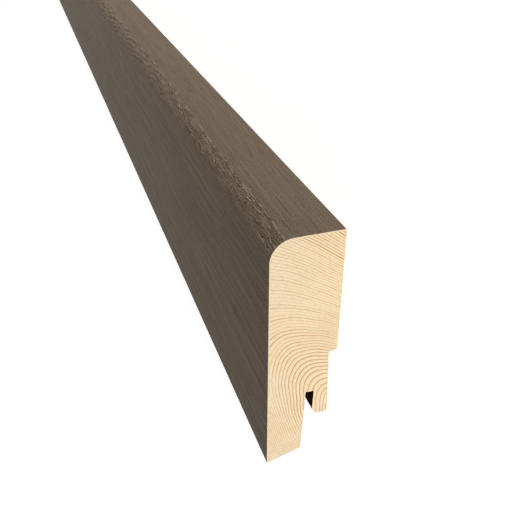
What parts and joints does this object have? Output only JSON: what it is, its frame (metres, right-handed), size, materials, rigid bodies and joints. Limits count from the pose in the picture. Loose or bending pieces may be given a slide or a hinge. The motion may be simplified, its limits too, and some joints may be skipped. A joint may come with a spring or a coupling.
{
  "type": "skirting board length",
  "caption": "Straight veneered wood skirting board with a rounded face edge, a bevelled foot, and a shoulder and a wedge-shaped clip seat milled along its back.",
  "frame": {"origin": "on the wall plane (the back), at mid length and mid height of the board", "axes": "+X along the length, +Y from the toe up to the top edge as fitted, +Z from the wall plane out through the veneered face; the board lies on its back on the floor"},
  "size_m": [2.4, 0.06, 0.016],
  "materials": {
    "softwood": "planed and bare",
    "veneer": "dark stained, satin"
  },
  "bodies": {
    "root": {"softwood_core": "softwood", "veneer_wrap": "veneer"}
  },
  "joints": []
}
